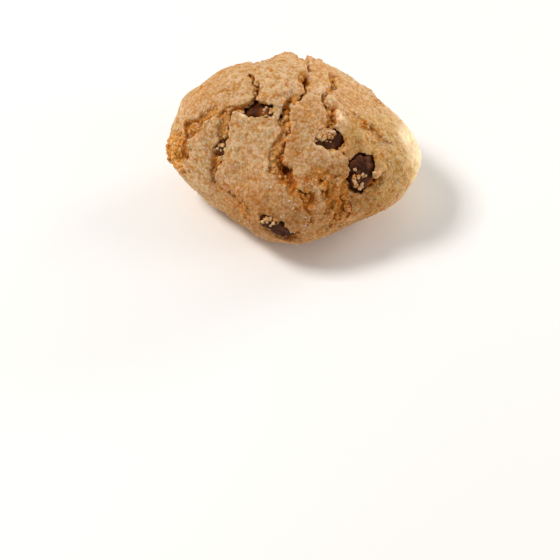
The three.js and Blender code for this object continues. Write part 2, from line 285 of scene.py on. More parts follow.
# A zone's rim wanders by these shares of its radius, with bumps of these sizes.
ZONE_RAGGEDNESS = (0.35, 0.2)
ZONE_BUMPS = (3.0, 1.2)

# Where the crust is lumpier than elsewhere: longitude, latitude, radius in millimetres.
LUMPY = [
    (-155, 25, 6.0), (-108, 14, 8.0), (-62, 34, 6.0), (-45, 60, 6.0), (-20, 32, 6.0), (-110, 78, 6.0),
]

# Cracks and openings are bent by bumps of two sizes, by this much each.
RAGGED_SIZES = (1.5, 0.75)
CRACK_RAGGEDNESS = (0.6, 0.35)
OPENING_RAGGEDNESS = (0.7, 0.5)

# The crust's grain: round grains, finer ones and ridges, each with its size and its share, bent a little.
GRAIN_SIZE = 1.4
FINE_GRAIN_SIZE = 0.8
RIDGE_SIZE = 1.0
GRAIN_SHARES = (0.65, 0.6, 0.4)
GRAIN_LEVEL = 0.42
GRAIN_BEND = 0.35
GRAIN_BEND_SIZE = 1.7

# How far the crust's grain, waves and lumps lift the surface, and what torn dough adds. Dough turns torn
# between the two depths below the plates. All of it fades out in the smooth foot.
GRAIN_HEIGHT = 0.22
TORN_GRAIN_HEIGHT = 0.18
TORN_SINK = 0.12
TORN_DEPTHS = (0.3, 1.2)
WAVE_HEIGHT = 0.26
WAVE_SIZE = 2.8
LUMP_SIZE = 1.8
LUMP_LEVEL = 0.3
LUMP_HEIGHT = 0.4
TORN_LUMP_HEIGHT = 0.45
LUMPY_PATCH_SIZE = 7.0
LUMPY_PATCH_RIM = (-0.1, 0.6)
LUMPY_PATCH_SHARE = 0.5
LUMPY_SHARE = 0.7
SMOOTH_FOOT = 1.5

# The grid reaches past the plain dough by these lengths. Only a band about its surface has relief, and
# only a thinner one about that has grain.
GRID_STEP = 0.36
GRID_ROOM = (6.0, 6.5, 3.0)
BAND_INSIDE = -4.4
BAND_OUTSIDE = 2.0
GRAIN_BAND = 1.5

# -------- noise

NOISE_TABLE = 32
GRAIN_STEEPNESS = 1.6


def value_noise(points, size, seed):
    """Smooth noise between -1 and 1 with bumps about this size."""
    table = np.random.default_rng(SEED + seed).uniform(-1, 1, (NOISE_TABLE,) * 3).astype(np.float32)
    at = points / size
    cell = np.floor(at).astype(np.int32)
    share = (at - cell).astype(np.float32)
    share = share * share * (3 - 2 * share)
    low = cell & (NOISE_TABLE - 1)
    high = (low + 1) & (NOISE_TABLE - 1)
    total = np.zeros(len(points), np.float32)
    for ups in product((0, 1), repeat=3):
        corner = [(high if up else low)[:, axis] for axis, up in enumerate(ups)]
        weight = np.ones(len(points), np.float32)
        for axis, up in enumerate(ups):
            weight *= share[:, axis] if up else 1 - share[:, axis]
        total += weight * table[corner[0], corner[1], corner[2]]
    return total


def noise_shifts(points, size, seeds):
    """Noise along x, y and z, to bend points by."""
    return np.stack([value_noise(points, size, seed) for seed in seeds], -1)


def grain_noise(points, size, seed):
    """Rounded grains about this size: 1 at the middle of a grain, falling to 0 and below in the seams."""
    seeds = np.random.default_rng(SEED + seed).random((NOISE_TABLE,) * 3 + (3,)).astype(np.float32)
    at = points / size
    cell = np.floor(at).astype(np.int32)
    inside = (at - cell).astype(np.float32)
    nearest = np.full(len(points), np.inf, np.float32)
    for step in product((-1, 0, 1), repeat=3):
        index = (cell + np.array(step)) & (NOISE_TABLE - 1)
        away = seeds[index[:, 0], index[:, 1], index[:, 2]] + np.array(step, np.float32) - inside
        np.minimum(nearest, (away * away).sum(1), out=nearest)
    return 1 - GRAIN_STEEPNESS * nearest


def smoothstep(value, low, high):
    """0 up to low, 1 from high on, and smooth in between."""
    share = np.clip((value - low) / (high - low), 0, 1)
    return share * share * (3 - 2 * share)


# -------- places on the skin


def direction(longitude, latitude):
    """A step of length 1 from the middle point towards a place."""
    lon = np.radians(longitude)
    lat = np.radians(latitude)
    return np.stack((np.cos(lat) * np.cos(lon), np.cos(lat) * np.sin(lon), np.sin(lat)), -1)


def dough_radius(towards):
    """How far the plain dough reaches from the middle point in each direction."""
    rise = np.where(towards[:, 2] > 0, CROWN_HEIGHT, UNDER_DEPTH)
    reach = np.abs(towards[:, 0] / HALF_LENGTH) ** ROUNDNESS
    reach += np.abs(towards[:, 1] / HALF_DEPTH) ** ROUNDNESS
    reach += np.abs(towards[:, 2] / rise) ** ROUNDNESS
    radius = reach ** (-1 / ROUNDNESS)
    for longitude, latitude, height, spread in LUMPS:
        cosine = towards @ direction(longitude, latitude).astype(towards.dtype)
        angle = np.degrees(np.arccos(np.clip(cosine, -1, 1)))
        radius += height * np.exp(-((angle / spread) ** 2))
    return radius


def tray_cut(towards, radius):
    """The flat underside cuts the form off, with a soft edge."""
    down = np.maximum(-towards[:, 2], 1e-6)
    to_tray = MIDDLE[2] / down
    limit = to_tray + UNDER_SLACK
    nearer = np.minimum(radius, limit)
    soft = np.exp((nearer - radius) / UNDER_EDGE) + np.exp((nearer - limit) / UNDER_EDGE)
    cut = np.minimum(nearer - UNDER_EDGE * np.log(soft), to_tray)
    return np.where(towards[:, 2] < 0, cut, radius)


def skin_point(towards):
    return MIDDLE + tray_cut(towards, dough_radius(towards))[:, None] * towards


def on_skin(longitude, latitude):
    return skin_point(np.atleast_2d(direction(longitude, latitude)))[0]


# -------- cracks


def fine_path(crack, pieces):
    """The crack's path as points on the skin, on a smooth curve through the named ones."""
    rows = np.column_stack((direction(crack.path[:, 0], crack.path[:, 1]), crack.path[:, 2]))
    rows = np.vstack((2 * rows[0] - rows[1], rows, 2 * rows[-1] - rows[-2]))
    out = []
    for i in range(1, len(rows) - 2):
        a, b, c, d = rows[i - 1 : i + 3]
        for share in np.arange(pieces) / pieces:
            curve = 2 * b + (c - a) * share + (2 * a - 5 * b + 4 * c - d) * share**2
            out.append(0.5 * (curve + (3 * b - a - 3 * c + d) * share**3))
    out.append(rows[-2])
    out = np.array(out)
    towards = out[:, :3] / np.linalg.norm(out[:, :3], axis=1)[:, None]
    return skin_point(towards), out[:, 3]


def nearest_on(points, path, halves):
    """For each point: distance to a path, side (1 on its left, -1 on its right), half width there and
    length along the path. Last comes the path's whole length.
    """
    distance = np.full(len(points), np.inf, np.float32)
    side, half, along = np.zeros((3, len(points)), np.float32)
    start = 0.0
    for a, b, half_a, half_b in zip(path[:-1], path[1:], halves[:-1], halves[1:]):
        run = b - a
        length = np.linalg.norm(run)
        left = np.cross((a + b) / 2 - MIDDLE, run)
        left /= np.linalg.norm(left)
        share = np.clip((points - a) @ run / length**2, 0, 1)
        offset = points - a - share[:, None] * run
        away = np.sqrt((offset * offset).sum(1))
        nearer = away < distance
        distance[nearer] = away[nearer]
        side[nearer] = (offset[nearer] @ left) >= 0
        half[nearer] = (half_a + (half_b - half_a) * share)[nearer]
        along[nearer] = start + length * share[nearer]
        start += length
    return distance, 2 * side - 1, half, along, start


def close_to(path, points, reach):
    """Which points lie in the box round a path, widened by this reach."""
    return np.flatnonzero(((points > path.min(0) - reach) & (points < path.max(0) + reach)).all(1))


def openness(crack, along, length):
    """1 along a crack, falling to 0 at an end that runs into nothing."""
    first = 1.0 if crack.joined[0] else smoothstep(along, 0, CRACK_TAPER)
    last = 1.0 if crack.joined[1] else smoothstep(length - along, 0, CRACK_TAPER)
    return first * last


def plate_relief(skin):
    """How far the plates of crust stand proud of the plain dough, less the valleys along the cracks."""
    plates = np.zeros(len(skin), np.float32)
    valley = np.zeros(len(skin), np.float32)
    reach = 3 * PLATE_REACH
    for crack in CRACKS:
        path, halves = fine_path(crack, 1)
        index = close_to(path, skin, reach)
        distance, side, _, along, length = nearest_on(skin[index], path, halves)
        opened = openness(crack, along, length)
        dip = opened * crack.depth * VALLEY_SHARE * np.exp(-((distance / VALLEY_REACH) ** 2))
        valley[index] = np.maximum(valley[index], dip)
        proud = np.where(side > 0, crack.left, crack.right)
        fade = np.exp(-distance / PLATE_REACH) * np.clip(1.5 - 1.5 * distance / reach, 0, 1)
        plates[index] += opened * proud * fade
    return plates - valley


def hollow_relief(skin, ragged_skin):
    """Depth of the torn hollows, and of the ragged openings in the crust over the raisins.

    Each opening is worked out seen from straight above its raisin, and is kept to the raisin's own side.
    """
    dip = np.zeros(len(skin), np.float32)
    for longitude, latitude, radius, depth in HOLLOWS:
        share = np.linalg.norm(skin - on_skin(longitude, latitude), axis=1) / radius
        dip = np.maximum(dip, depth * np.exp(-(share**4)))
    for raisin in RAISINS:
        local = (ragged_skin - raisin_middle(raisin)) @ raisin_axes(raisin).T
        share = np.linalg.norm((local[:, :2] / raisin.half[:2] - raisin.shift) / raisin.opening, axis=1)
        own_side = local[:, 2] > -raisin.sunk
        dip = np.maximum(dip, raisin.dip * (1 - smoothstep(share, *OPENING_RIM)) * own_side)
    for longitude, latitude, radius, height in FLAPS:
        away = np.linalg.norm(ragged_skin - on_skin(longitude, latitude), axis=1) / radius
        share = np.exp(-(away**4))
        dip = dip * (1 - share) - height * share
    return dip


def crust_swell(points):
    """Slow swellings between the cracks."""
    x, y, z = points.T
    start_x, start_y, start_z = SWELL_START
    across = np.sin(SWELL_TURN[0] * x + start_x) * np.sin(SWELL_TURN[1] * y + start_y)
    return SWELL_HEIGHT * (across + np.sin(SWELL_TURN[2] * z + SWELL_SLANT * x + start_z))


# -------- raisins' places


def raisin_axes(raisin):
    """Rows: the raisin's long side, its width and its thickness, which points outwards."""
    out = direction(*raisin.at)
    east = np.array((-out[1], out[0], 0.0))
    east /= np.linalg.norm(east)
    north = np.cross(out, east)
    turn = math.radians(raisin.turn)
    long = east * math.cos(turn) + north * math.sin(turn)
    return np.array((long, np.cross(out, long), out))


def raisin_middle(raisin):
    return on_skin(*raisin.at) - raisin.sunk * direction(*raisin.at)


# -------- the dough's field


def smooth_max(a, b, softness):
    """The larger of two fields, rounded where they meet."""
    return (a + b + np.sqrt((a - b) ** 2 + softness**2)) / 2


def bend(skin, shifts, amounts):
    """The skin's points moved by noise of two sizes."""
    return skin + amounts[0] * shifts[0] + amounts[1] * shifts[1]


def grid():
    """The grid's low corner and its points along each axis. The underside lies midway in a cell."""
    reach = np.array((HALF_LENGTH, HALF_DEPTH, CROWN_HEIGHT)) + GRID_ROOM
    low = MIDDLE - reach
    low[2] = -1.5 * GRID_STEP
    high = MIDDLE + reach
    return low, np.ceil((high - low) / GRID_STEP).astype(int) + 1


def dough_field(low, shape):
    """The field on the grid, roughly the distance to the dough's surface, below zero inside."""
    axes = [(low[axis] + GRID_STEP * np.arange(shape[axis])).astype(np.float32) for axis in range(3)]
    points = np.stack(np.meshgrid(*axes, indexing="ij"), -1).reshape(-1, 3)
    from_middle = points - MIDDLE.astype(np.float32)
    reach = np.linalg.norm(from_middle, axis=1)
    towards = from_middle / np.maximum(reach, 1e-3)[:, None]
    radius = dough_radius(towards)
    field = reach - tray_cut(towards, radius)

    band = np.flatnonzero((field > BAND_INSIDE) & (field < BAND_OUTSIDE))
    points, reach, towards, radius = points[band], reach[band], towards[band], radius[band]
    skin = (MIDDLE + (reach - field[band])[:, None] * towards).astype(np.float32)
    seeds = ((1, 2, 3), (4, 5, 6))
    shifts = [noise_shifts(points, size, three) for size, three in zip(RAGGED_SIZES, seeds)]
    torn_skin = bend(skin, shifts, CRACK_RAGGEDNESS)

    openings = hollow_relief(torn_skin, bend(skin, shifts, OPENING_RAGGEDNESS))
    relief = plate_relief(torn_skin) - openings + crust_swell(skin)
    relief *= smoothstep(points[:, 2], *FOOT)
    plated = reach - tray_cut(towards, radius + relief)
    surface = plated.copy()
    for crack in CRACKS:
        carve_crack(surface, plated, torn_skin, crack)
    for raisin in RAISINS:
        carve_pocket(surface, points, raisin)
    near = np.flatnonzero(np.abs(surface) < GRAIN_BAND)
    surface[near] -= crust_roughness(points[near], plated[near])
    surface = np.maximum(surface, -points[:, 2])
    field[band] = surface
    return field.reshape(shape)


def carve_crack(surface, plated, skin, crack):
    """Cuts a crack's gap, narrowing downwards, and its shelf out of the field."""
    path, halves = fine_path(crack, 4)
    index = close_to(path, skin, halves.max() + abs(crack.shelf) + CRACK_ROOM)
    distance, side, half, along, length = nearest_on(skin[index], path, halves)
    opened = openness(crack, along, length)
    depth = np.maximum(-plated[index], 0)
    deepest = crack.depth * np.sqrt(half / halves.max()) * opened + 0.01
    narrowed = half * opened * np.sqrt(np.clip(1 - (depth / deepest) ** 2, 0, 1))
    width = narrowed - CRACK_CLOSING * (depth > deepest)
    gap = np.abs(distance * side - crack.lean * depth) - width
    if crack.shelf:
        wide = abs(crack.shelf) / 2 + half
        middle = np.sign(crack.shelf) * wide
        uneven = SHELF_WIDTH[0] + SHELF_WIDTH[1] * value_noise(skin[index], SHELF_BUMPS, 7)
        torn = np.abs(distance * side - middle) - wide * opened * uneven
        gap = np.minimum(gap, np.maximum(torn, SHELF_STEEPNESS * (depth - SHELF_DEPTH)))
    surface[index] = smooth_max(surface[index], -gap, CRACK_EDGE)


def carve_pocket(surface, points, raisin):
    """Cuts the space that a raisin lies in out of the field."""
    local = (points - raisin_middle(raisin).astype(np.float32)) @ raisin_axes(raisin).T
    half = raisin.half + POCKET_GAP
    outside = (np.linalg.norm(local / half, axis=1) - 1) * half.min()
    index = np.flatnonzero(outside < POCKET_ROOM)
    surface[index] = smooth_max(surface[index], -outside[index], POCKET_EDGE)


def grittiness(points):
    """The crust's grain, about -1 in the pits and 1 on the tops of the grains."""
    bent = points + GRAIN_BEND * noise_shifts(points, GRAIN_BEND_SIZE, (14, 15, 16))
    grains = grain_noise(bent, GRAIN_SIZE, 11)
    fine = grain_noise(bent, FINE_GRAIN_SIZE, 12)
    ridges = value_noise(bent, RIDGE_SIZE, 17)
    share, fine_share, ridge_share = GRAIN_SHARES
    return share * grains + fine_share * fine + ridge_share * ridges - GRAIN_LEVEL


def crust_roughness(points, plated):
    """How far the grain lifts the surface, stronger on torn dough inside cracks and hollows."""
    torn = smoothstep(-plated, *TORN_DEPTHS)
    waves = value_noise(points, WAVE_SIZE, 13)
    above_foot = smoothstep(points[:, 2], 0.0, SMOOTH_FOOT)
    patches = smoothstep(value_noise(points, LUMPY_PATCH_SIZE, 19), *LUMPY_PATCH_RIM)
    lumpy = LUMPY_PATCH_SHARE * patches + LUMPY_SHARE * zone_share(points, LUMPY)
    lump_height = TORN_LUMP_HEIGHT * zone_share(points, ZONES["torn"]) + LUMP_HEIGHT * lumpy * (1 - torn)
    lumps = lump_height * (grain_noise(points, LUMP_SIZE, 18) - LUMP_LEVEL)
    grain = (GRAIN_HEIGHT + TORN_GRAIN_HEIGHT * torn) * grittiness(points)
    return above_foot * (grain + WAVE_HEIGHT * waves + lumps - TORN_SINK * torn)


# -------- reading the surface off the grid


def surface_net(field, low, step):
    """The surface where the field is zero: a point in each cell it crosses, and four-cornered faces."""
    inside = field < 0
    size = np.array(field.shape)
    unit = np.eye(3, dtype=int)
    count = np.zeros(size - 1, np.int8)
    for i, j, k in product((0, 1), repeat=3):
        count += inside[i : size[0] - 1 + i, j : size[1] - 1 + j, k : size[2] - 1 + k]
    crossed = (count > 0) & (count < 8)
    cells = np.argwhere(crossed)
    number = np.full(crossed.shape, -1, np.int32)
    number[crossed] = np.arange(len(cells))

    total = np.zeros((len(cells), 3))
    hits = np.zeros(len(cells))
    for axis in range(3):
        others = [other for other in range(3) if other != axis]
        for i, j in product((0, 1), repeat=2):
            start = cells.copy()
            start[:, others[0]] += i
            start[:, others[1]] += j
            a = field[tuple(start.T)]
            b = field[tuple((start + unit[axis]).T)]
            crossing = (a < 0) != (b < 0)
            share = a[crossing] / (a[crossing] - b[crossing])
            total[crossing] += start[crossing] + share[:, None] * unit[axis]
            hits[crossing] += 1
    points = low + step * total / hits[:, None]

    faces = []
    for axis in range(3):
        along, u, v = unit[axis], unit[(axis + 1) % 3], unit[(axis + 2) % 3]
        first = inside[: size[0] - along[0], : size[1] - along[1], : size[2] - along[2]]
        second = inside[along[0] :, along[1] :, along[2] :]
        edges = np.argwhere(first != second)
        edges = edges[((edges > 0) | (along > 0)).all(1)]
        ring = [number[tuple((edges - shift).T)] for shift in (u + v, v, 0 * u, u)]
        quads = np.stack(ring, 1)
        outwards = inside[tuple(edges.T)]
        quads[~outwards] = quads[~outwards][:, ::-1]
        faces.append(quads)
    return points, np.vstack(faces)


def largest_part(points, faces):
    """Drops every loose scrap of a mesh: only the part with the most points stays."""
    label = np.arange(len(points))
    pairs = np.vstack([faces[:, [i, (i + 1) % 4]] for i in range(4)])
    while True:
        low = np.minimum(label[pairs[:, 0]], label[pairs[:, 1]])
        before = label.copy()
        np.minimum.at(label, pairs[:, 0], low)
        np.minimum.at(label, pairs[:, 1], low)
        label = label[label]
        if (label == before).all():
            break
    kept = label == np.bincount(label).argmax()
    number = np.cumsum(kept) - 1
    return points[kept], number[faces[kept[faces[:, 0]]]]


# -------- meshes


def new_object(name, data):
    """A Blender object that is in the scene."""
    piece = bpy.data.objects.new(name, data)
    bpy.context.scene.collection.objects.link(piece)
    return piece


def mesh_piece(name, points, faces, material, smooth=True):
    """A Blender object from points in millimetres."""
    mesh = bpy.data.meshes.new(name)
    mesh.from_pydata((points * MM).tolist(), [], faces.tolist())
    mesh.polygons.foreach_set("use_smooth", [smooth] * len(mesh.polygons))
    mesh.materials.append(material)
    mesh.update()
    return new_object(name, mesh)


def set_attribute(piece, name, values):
    attribute = piece.data.attributes.new(name, "FLOAT", "POINT")
    attribute.data.foreach_set("value", np.asarray(values, np.float32))


def vertex_normals(piece):
    normals = np.zeros(3 * len(piece.data.vertices), np.float32)
    piece.data.vertex_normals.foreach_get("vector", normals)
    return normals.reshape(-1, 3)


# -------- zones of colour


def zone_share(points, zone):
    """1 at the middle of a zone's places, fading out unevenly towards their rims."""
    bumps = [value_noise(points, size, seed) for size, seed in zip(ZONE_BUMPS, (41, 42))]
    uneven = 1 + ZONE_RAGGEDNESS[0] * bumps[0] + ZONE_RAGGEDNESS[1] * bumps[1]
    share = np.zeros(len(points), np.float32)
    for longitude, latitude, radius in zone:
        away = np.linalg.norm(points - on_skin(longitude, latitude), axis=1) / radius * uneven
        share = np.maximum(share, np.exp(-(away**3)))
    return share


def depth_below_plates(points):
    """How far each point lies below the surface that the plates would have without cracks."""
    from_middle = points - MIDDLE
    reach = np.linalg.norm(from_middle, axis=1)
    towards = from_middle / reach[:, None]
    radius = dough_radius(towards)
    skin = MIDDLE + tray_cut(towards, radius)[:, None] * towards
    relief = plate_relief(skin) + crust_swell(skin)
    relief *= smoothstep(points[:, 2], *FOOT)
    return tray_cut(towards, radius + relief) - reach


# -------- materials

# Noise in the materials: size in millimetres, detail, roughness. The grain has a size and a seam.
MOTTLE = (1.5, 4.0, 0.65)
PATCHES = (8.0, 3.0, 0.55)
CRUST_GRIT = (0.5, 4.0, 0.65)
COLOUR_GRAIN = 0.62
GRAIN_SEAM = 0.55
SUGAR_CLOUD = (0.4, 2.0, 0.5)
RAISIN_BLOOM = (2.2, 3.0, 0.6)
RAISIN_GLOSS = (0.9, 3.0, 0.6)
RAISIN_GRIT = (0.5, 4.0, 0.6)

# What counts as 0 and 1 in a noise, and the shares of lift, mottle and grain in the tone. Through lift the
# tone paints shade into the grain's pits and light onto its tops; mottle and grain are random tone.
MOTTLE_RANGE = (0.26, 0.74)
PATCH_RANGE = (0.3, 0.7)
TONE_SHARES = (0.35, 0.36, 0.29)

# Colours from the pits of the crust's grain to its tops, as (position, colour): the plain crust, and what
# covers it in the zones of the same names. Darker pits and lighter tops are partly painted shade and
# light.
TONES = {
    "crust": [
        (0.28, (0.54, 0.205, 0.040)),
        (0.43, (0.58, 0.324, 0.122)),
        (0.56, (0.64, 0.410, 0.216)),
        (0.70, (0.73, 0.520, 0.330)),
    ],
    # The right side's ramp is darker than the plain crust's: painted shade.
    "pale_shaded": [
        (0.28, (0.46, 0.172, 0.026)),
        (0.48, (0.51, 0.275, 0.078)),
        (0.68, (0.59, 0.368, 0.158)),
    ],
    "cream": [(0.28, (0.90, 0.62, 0.29)), (0.62, (1.0, 0.82, 0.55))],
    "torn": [
        (0.28, (0.50, 0.115, 0.002)),
        (0.44, (0.64, 0.215, 0.014)),
        (0.57, (0.75, 0.335, 0.065)),
        (0.70, (0.87, 0.520, 0.240)),
    ],
}

# The crust is multiplied by these: in slow patches, where it is browned, and as painted shade low on the
# front.
PATCH_TINT = (0.97, 0.91, 0.82)
BROWN_TINT = (0.94, 0.82, 0.68)
LOW_SHADE_TINT = (0.74, 0.60, 0.44)

# The dough inside cracks: its colours from the first to the second depth below the plates, darker deeper
# down, partly its own colour and partly painted shade; what they are multiplied by from pits to tops,
# darker in the pits partly as painted shade; and the depths between which the crust gives way to it.
INSIDE_DEPTHS = (0.4, 3.0)
INSIDE_TONES_AND_SHADE = [
    (0.0, (0.74, 0.340, 0.065)),
    (0.35, (0.62, 0.225, 0.026)),
    (0.70, (0.44, 0.130, 0.012)),
    (1.0, (0.28, 0.075, 0.008)),
]
INSIDE_TINTS = [(0.25, (0.66, 0.52, 0.40)), (0.7, (1.0, 1.0, 1.0))]
CRUST_ENDS = (0.3, 0.9)

SUGAR_TONES = [(0.3, (0.90, 0.82, 0.70)), (0.7, (1.0, 0.97, 0.92))]
RAISIN_TONES = [
    (0.30, (0.030, 0.007, 0.002)),
    (0.50, (0.070, 0.018, 0.005)),
    (0.72, (0.14, 0.042, 0.010)),
]
AMBER_COLOUR = (0.34, 0.09, 0.008)
RAISIN_ROUGHNESS = (0.32, 0.7)

# Strength and depth of the bumps.
CRUST_BUMP = (0.55, 0.26)
RAISIN_BUMP = (0.8, 0.2)


def new_material(name):
    """A new material, its node tree and its shader."""
    material = bpy.data.materials.new(name)
    material.use_nodes = True
    return material, material.node_tree, material.node_tree.nodes["Principled BSDF"]


def set_inputs(shader, values):
    """Sets what is the same all over a surface."""
    for name, value in values.items():
        shader.inputs[name].default_value = value


def attribute_node(tree, name):
    node = tree.nodes.new("ShaderNodeAttribute")
    node.attribute_name = name
    return node.outputs["Fac"]


def texture_node(tree, kind, size):
    """A texture in the object's own coordinates, with features about this many millimetres across."""
    place = tree.nodes.new("ShaderNodeTexCoord")
    node = tree.nodes.new(kind)
    node.inputs["Scale"].default_value = 1 / (size * MM)
    tree.links.new(place.outputs["Object"], node.inputs["Vector"])
    return node


def noise_node(tree, size, detail, roughness):
    node = texture_node(tree, "ShaderNodeTexNoise", size)
    node.inputs["Detail"].default_value = detail
    node.inputs["Roughness"].default_value = roughness
    return node.outputs["Fac"]


def grain_node(tree, size):
    """Rounded grains: 1 at the middle of a grain, 0 in the seams between them."""
    distance = texture_node(tree, "ShaderNodeTexVoronoi", size).outputs["Distance"]
    return range_node(tree, math_node(tree, "MULTIPLY", distance, distance), GRAIN_SEAM, 0.0)


def weighted_sum(tree, terms):
    """Adds up (value, weight) pairs."""
    total = None
    for value, weight in terms:
        share = math_node(tree, "MULTIPLY", value, weight)
        total = share if total is None else math_node(tree, "ADD", total, share)
    return total


def ramp_node(tree, value, stops):
    """A colour ramp: stops are (position, colour)."""
    node = tree.nodes.new("ShaderNodeValToRGB")
    tree.links.new(value, node.inputs["Fac"])
    elements = node.color_ramp.elements
    while len(elements) < len(stops):
        elements.new(0.5)
    for element, (position, colour) in zip(elements, stops):
        element.position = position
        element.color = (*colour, 1)
    return node.outputs["Color"]


def range_node(tree, value, low, high, to_low=0.0, to_high=1.0):
    """Maps one range onto another and keeps inside it."""
    node = tree.nodes.new("ShaderNodeMapRange")
    tree.links.new(value, node.inputs["Value"])
    for name, number in (("From Min", low), ("From Max", high), ("To Min", to_low), ("To Max", to_high)):
        node.inputs[name].default_value = number
    return node.outputs["Result"]


def math_node(tree, operation, a, b):
    """Each value is a socket or a number."""
    node = tree.nodes.new("ShaderNodeMath")
    node.operation = operation
    for socket, value in zip(node.inputs, (a, b)):
        if isinstance(value, (int, float)):
            socket.default_value = value
        else:
            tree.links.new(value, socket)
    return node.outputs["Value"]


def mix_node(tree, share, a, b, blend="MIX"):
    """Mixes two colours; each is a socket or a colour."""
    node = tree.nodes.new("ShaderNodeMix")
    node.data_type = "RGBA"
    node.blend_type = blend
    for socket, value in ((node.inputs[0], share), (node.inputs[6], a), (node.inputs[7], b)):
        if isinstance(value, (int, float)):
            socket.default_value = value
        elif isinstance(value, tuple):
            socket.default_value = (*value, 1)
        else:
            tree.links.new(value, socket)
    return node.outputs[2]


def tinted(tree, colour, tint):
    return mix_node(tree, 1.0, colour, tint, "MULTIPLY")


def add_bump(tree, shader, height, strength, distance):
    """Roughens a shader's surface by a height of at most this distance, in millimetres."""
    bump = tree.nodes.new("ShaderNodeBump")
    bump.inputs["Strength"].default_value = strength
    bump.inputs["Distance"].default_value = distance * MM
    tree.links.new(height, bump.inputs["Height"])
    tree.links.new(bump.outputs["Normal"], shader.inputs["Normal"])


def crust_material(name, softness):
    """Baked crust, coloured by the mesh's attributes: zones, the grain's lift, depth below the plates.

    softness is how much of the light goes in under the surface. Loose grains are too small for any.
    """
    material, tree, shader = new_material(name)
    mottle = range_node(tree, noise_node(tree, *MOTTLE), *MOTTLE_RANGE)
    grain = grain_node(tree, COLOUR_GRAIN)
    # The tone: lift paints shade into the grain's pits and light onto its tops, mottle and grain add
    # random tone.
    tone = weighted_sum(tree, zip((attribute_node(tree, "lift"), mottle, grain), TONE_SHARES))

    crust = ramp_node(tree, tone, TONES["crust"])
    patches = range_node(tree, noise_node(tree, *PATCHES), *PATCH_RANGE)
    crust = mix_node(tree, patches, crust, tinted(tree, crust, PATCH_TINT))
    crust = mix_node(tree, attribute_node(tree, "brown"), crust, tinted(tree, crust, BROWN_TINT))
    for zone in ("pale_shaded", "cream", "torn"):
        crust = mix_node(tree, attribute_node(tree, zone), crust, ramp_node(tree, tone, TONES[zone]))
    # Painted shade on the low front.
    crust = mix_node(tree, attribute_node(tree, "low"), crust, tinted(tree, crust, LOW_SHADE_TINT))

    # Inside cracks the dough darkens with depth: partly its own colour, partly painted shade.
    depth = attribute_node(tree, "depth")
    inside = ramp_node(tree, range_node(tree, depth, *INSIDE_DEPTHS), INSIDE_TONES_AND_SHADE)
    inside = tinted(tree, inside, ramp_node(tree, tone, INSIDE_TINTS))
    colour = mix_node(tree, range_node(tree, depth, *CRUST_ENDS), crust, inside)
    tree.links.new(colour, shader.inputs["Base Color"])
    set_inputs(shader, {
        "Roughness": 0.75,
        "Specular IOR Level": 0.12,
        "Subsurface Weight": softness,
        "Subsurface Radius": (1.4, 0.5, 0.15),
        "Subsurface Scale": 0.8 * MM,
    })
    height = weighted_sum(tree, [(grain, 0.6), (noise_node(tree, *CRUST_GRIT), 0.4)])
    add_bump(tree, shader, height, *CRUST_BUMP)
    return material


def sugar_material():
    material, tree, shader = new_material("sugar")
    colour = ramp_node(tree, noise_node(tree, *SUGAR_CLOUD), SUGAR_TONES)
    tree.links.new(colour, shader.inputs["Base Color"])
    set_inputs(shader, {
        "Roughness": 0.18,
        "IOR": 1.54,
        "Transmission Weight": 0.25,
        "Subsurface Weight": 0.3,
        "Subsurface Radius": (1.0, 0.9, 0.8),
        "Subsurface Scale": 0.4 * MM,
    })
    return material


def raisin_material():
    material, tree, shader = new_material("raisin skin")
    colour = ramp_node(tree, noise_node(tree, *RAISIN_BLOOM), RAISIN_TONES)
    colour = mix_node(tree, attribute_node(tree, "amber"), colour, AMBER_COLOUR)
    tree.links.new(colour, shader.inputs["Base Color"])
    gloss = range_node(tree, noise_node(tree, *RAISIN_GLOSS), *PATCH_RANGE, *RAISIN_ROUGHNESS)
    tree.links.new(gloss, shader.inputs["Roughness"])
    set_inputs(shader, {
        "Specular IOR Level": 0.12,
        "Subsurface Weight": 0.15,
        "Subsurface Radius": (1.0, 0.25, 0.1),
        "Subsurface Scale": 1.0 * MM,
    })
    add_bump(tree, shader, noise_node(tree, *RAISIN_GRIT), *RAISIN_BUMP)
    return material


# -------- dough and raisins


def make_dough(material):
    low, shape = grid()
    points, faces = surface_net(dough_field(low, shape), low, GRID_STEP)
    points, faces = largest_part(points, faces)
    piece = mesh_piece("cookie_dough", points, faces, material)
    looks = {name: zone_share(points, zone) for name, zone in ZONES.items()}
    looks["depth"] = depth_below_plates(points)
    # The grain's height, which the crust's tone turns partly into painted shade in the pits and light on
    # the tops.
    looks["lift"] = np.clip(0.5 + 0.5 * grittiness(points), 0, 1)
    for name, values in looks.items():
        set_attribute(piece, name, values)
    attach(piece, "root")
    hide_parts("dough")
    return piece, points, looks


def ball(detail):
    """Points and triangles of a ball of radius 1."""
    shape = bmesh.new()
    bmesh.ops.create_icosphere(shape, subdivisions=detail, radius=1.0)
    shape.verts.ensure_lookup_table()
    points = np.array([vertex.co[:] for vertex in shape.verts])
    faces = np.array([[vertex.index for vertex in face.verts] for face in shape.faces])
    shape.free()
    return points, faces


